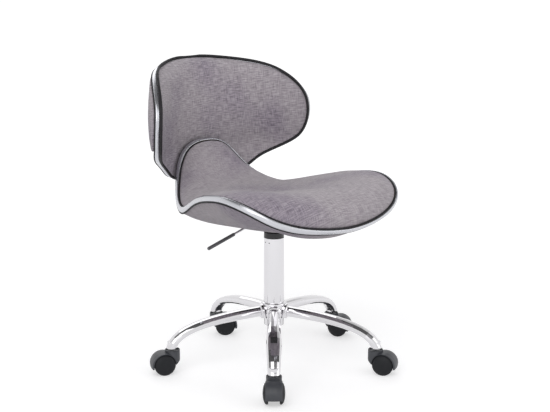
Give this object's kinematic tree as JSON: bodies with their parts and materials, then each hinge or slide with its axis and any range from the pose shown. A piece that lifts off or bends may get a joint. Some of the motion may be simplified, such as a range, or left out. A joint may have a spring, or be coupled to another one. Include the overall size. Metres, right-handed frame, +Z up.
{
  "type": "office chair",
  "caption": "Armless swivel office chair with a saddle seat, a winged back, a gas lift with a release lever and a chrome star base on twin-wheel castors.",
  "frame": {"origin": "on the floor under the centre of the gas lift", "axes": "+Z up; the sitter faces -Y; the sitter's right hand, with the lever, is at -X"},
  "size_m": [0.5902, 0.6543, 0.7326],
  "materials": {
    "chrome": "polished",
    "steel": "satin",
    "black_paint": "satin",
    "black_plastic": "matte",
    "castor_plastic": "satin",
    "rubber": "matte",
    "plywood": "satin",
    "upholstery": "matte",
    "piping": "matte"
  },
  "bodies": {
    "base": {"base_hub": "chrome", "leg_1": "chrome", "leg_2": "chrome", "leg_3": "chrome", "leg_4": "chrome", "leg_5": "chrome", "castor_stem_1": "steel", "castor_stem_2": "steel", "castor_stem_3": "steel", "castor_stem_4": "steel", "castor_stem_5": "steel", "column_tube": "chrome", "guide_bushing": "black_plastic", "thrust_bearing": "steel"},
    "spindle": {"piston_rod": "steel", "buffer_ring": "rubber", "retaining_clip": "steel"},
    "seat": {"gas_cylinder": "black_paint", "seat_plate": "black_paint", "plate_spacers": "black_plastic", "plate_bolts": "steel", "lever_pin": "steel", "seat_shell": "plywood", "seat_cushion": "upholstery", "seat_underside": "upholstery", "seat_trim": "chrome", "seat_piping_top": "piping", "seat_piping_bottom": "piping", "back_shell": "plywood", "back_cushion": "upholstery", "back_rear_cushion": "upholstery", "back_trim": "chrome", "back_piping_front": "piping", "back_piping_rear": "piping", "back_spacers": "black_plastic", "back_bolts": "chrome"},
    "valve": {"valve_button": "steel"},
    "lever": {"lever_rod": "chrome", "lever_sleeve": "black_plastic"},
    "castor_1": {"castor_hood_1": "castor_plastic", "castor_axle_1": "steel"},
    "left_wheel_1": {"wheel_left_1": "castor_plastic"},
    "right_wheel_1": {"wheel_right_1": "castor_plastic"},
    "castor_2": {"castor_hood_2": "castor_plastic", "castor_axle_2": "steel"},
    "left_wheel_2": {"wheel_left_2": "castor_plastic"},
    "right_wheel_2": {"wheel_right_2": "castor_plastic"},
    "castor_3": {"castor_hood_3": "castor_plastic", "castor_axle_3": "steel"},
    "left_wheel_3": {"wheel_left_3": "castor_plastic"},
    "right_wheel_3": {"wheel_right_3": "castor_plastic"},
    "castor_4": {"castor_hood_4": "castor_plastic", "castor_axle_4": "steel"},
    "left_wheel_4": {"wheel_left_4": "castor_plastic"},
    "right_wheel_4": {"wheel_right_4": "castor_plastic"},
    "castor_5": {"castor_hood_5": "castor_plastic", "castor_axle_5": "steel"},
    "left_wheel_5": {"wheel_left_5": "castor_plastic"},
    "right_wheel_5": {"wheel_right_5": "castor_plastic"}
  },
  "joints": [
    {"name": "seat_swivel", "type": "hinge", "parent": "base", "child": "spindle", "pos_m": [0, 0, 0.3], "axis": [0, 0, 1], "continuous": true},
    {"name": "seat_height", "type": "slide", "parent": "spindle", "child": "seat", "axis": [0, 0, 1], "range_m": [0, 0.12]},
    {"name": "release_lever", "type": "hinge", "parent": "seat", "child": "lever", "pos_m": [-0.045, 0, 0.36961], "axis": [0, 1, 0], "range_deg": [0, 4], "stiffness_Nm_per_rad": 0.5, "springref_deg": -11.46},
    {"name": "valve_press", "type": "slide", "parent": "seat", "child": "valve", "axis": [0, 0, -1], "range_m": [0, 0.0032], "stiffness_N_per_m": 300, "springref_m": -0.01},
    {"name": "castor_swivel_1", "type": "hinge", "parent": "base", "child": "castor_1", "pos_m": [-0.16474, -0.19985, 0.05], "axis": [0, 0, 1], "continuous": true},
    {"name": "left_wheel_roll_1", "type": "hinge", "parent": "castor_1", "child": "left_wheel_1", "pos_m": [-0.17842, -0.21644, 0.026], "axis": [0.7716, -0.6361, 0], "continuous": true},
    {"name": "right_wheel_roll_1", "type": "hinge", "parent": "castor_1", "child": "right_wheel_1", "pos_m": [-0.17842, -0.21644, 0.026], "axis": [0.7716, -0.6361, 0], "continuous": true},
    {"name": "castor_swivel_2", "type": "hinge", "parent": "base", "child": "castor_2", "pos_m": [0.13916, -0.21844, 0.05], "axis": [0, 0, 1], "continuous": true},
    {"name": "left_wheel_roll_2", "type": "hinge", "parent": "castor_2", "child": "left_wheel_2", "pos_m": [0.15055, -0.23667, 0.026], "axis": [0.848, 0.5299, 0], "continuous": true},
    {"name": "right_wheel_roll_2", "type": "hinge", "parent": "castor_2", "child": "right_wheel_2", "pos_m": [0.15055, -0.23667, 0.026], "axis": [0.848, 0.5299, 0], "continuous": true},
    {"name": "castor_swivel_3", "type": "hinge", "parent": "base", "child": "castor_3", "pos_m": [0.25075, 0.06485, 0.05], "axis": [0, 0, 1], "continuous": true},
    {"name": "left_wheel_roll_3", "type": "hinge", "parent": "castor_3", "child": "left_wheel_3", "pos_m": [0.2615, 0.04623, 0.026], "axis": [0.866, 0.5, 0], "continuous": true},
    {"name": "right_wheel_roll_3", "type": "hinge", "parent": "castor_3", "child": "right_wheel_3", "pos_m": [0.2615, 0.04623, 0.026], "axis": [0.866, 0.5, 0], "continuous": true},
    {"name": "castor_swivel_4", "type": "hinge", "parent": "base", "child": "castor_4", "pos_m": [0.01581, 0.25852, 0.05], "axis": [0, 0, 1], "continuous": true},
    {"name": "left_wheel_roll_4", "type": "hinge", "parent": "castor_4", "child": "left_wheel_4", "pos_m": [0.03443, 0.24777, 0.026], "axis": [0.5, 0.866, 0], "continuous": true},
    {"name": "right_wheel_roll_4", "type": "hinge", "parent": "castor_4", "child": "right_wheel_4", "pos_m": [0.03443, 0.24777, 0.026], "axis": [0.5, 0.866, 0], "continuous": true},
    {"name": "castor_swivel_5", "type": "hinge", "parent": "base", "child": "castor_5", "pos_m": [-0.24098, 0.09492, 0.05], "axis": [0, 0, 1], "continuous": true},
    {"name": "left_wheel_roll_5", "type": "hinge", "parent": "castor_5", "child": "left_wheel_5", "pos_m": [-0.26077, 0.10333, 0.026], "axis": [-0.3907, -0.9205, 0], "continuous": true},
    {"name": "right_wheel_roll_5", "type": "hinge", "parent": "castor_5", "child": "right_wheel_5", "pos_m": [-0.26077, 0.10333, 0.026], "axis": [-0.3907, -0.9205, 0], "continuous": true}
  ],
  "couplings": [
    {"joint": "valve_press", "follows": "release_lever", "m_per_rad": 0.045}
  ]
}
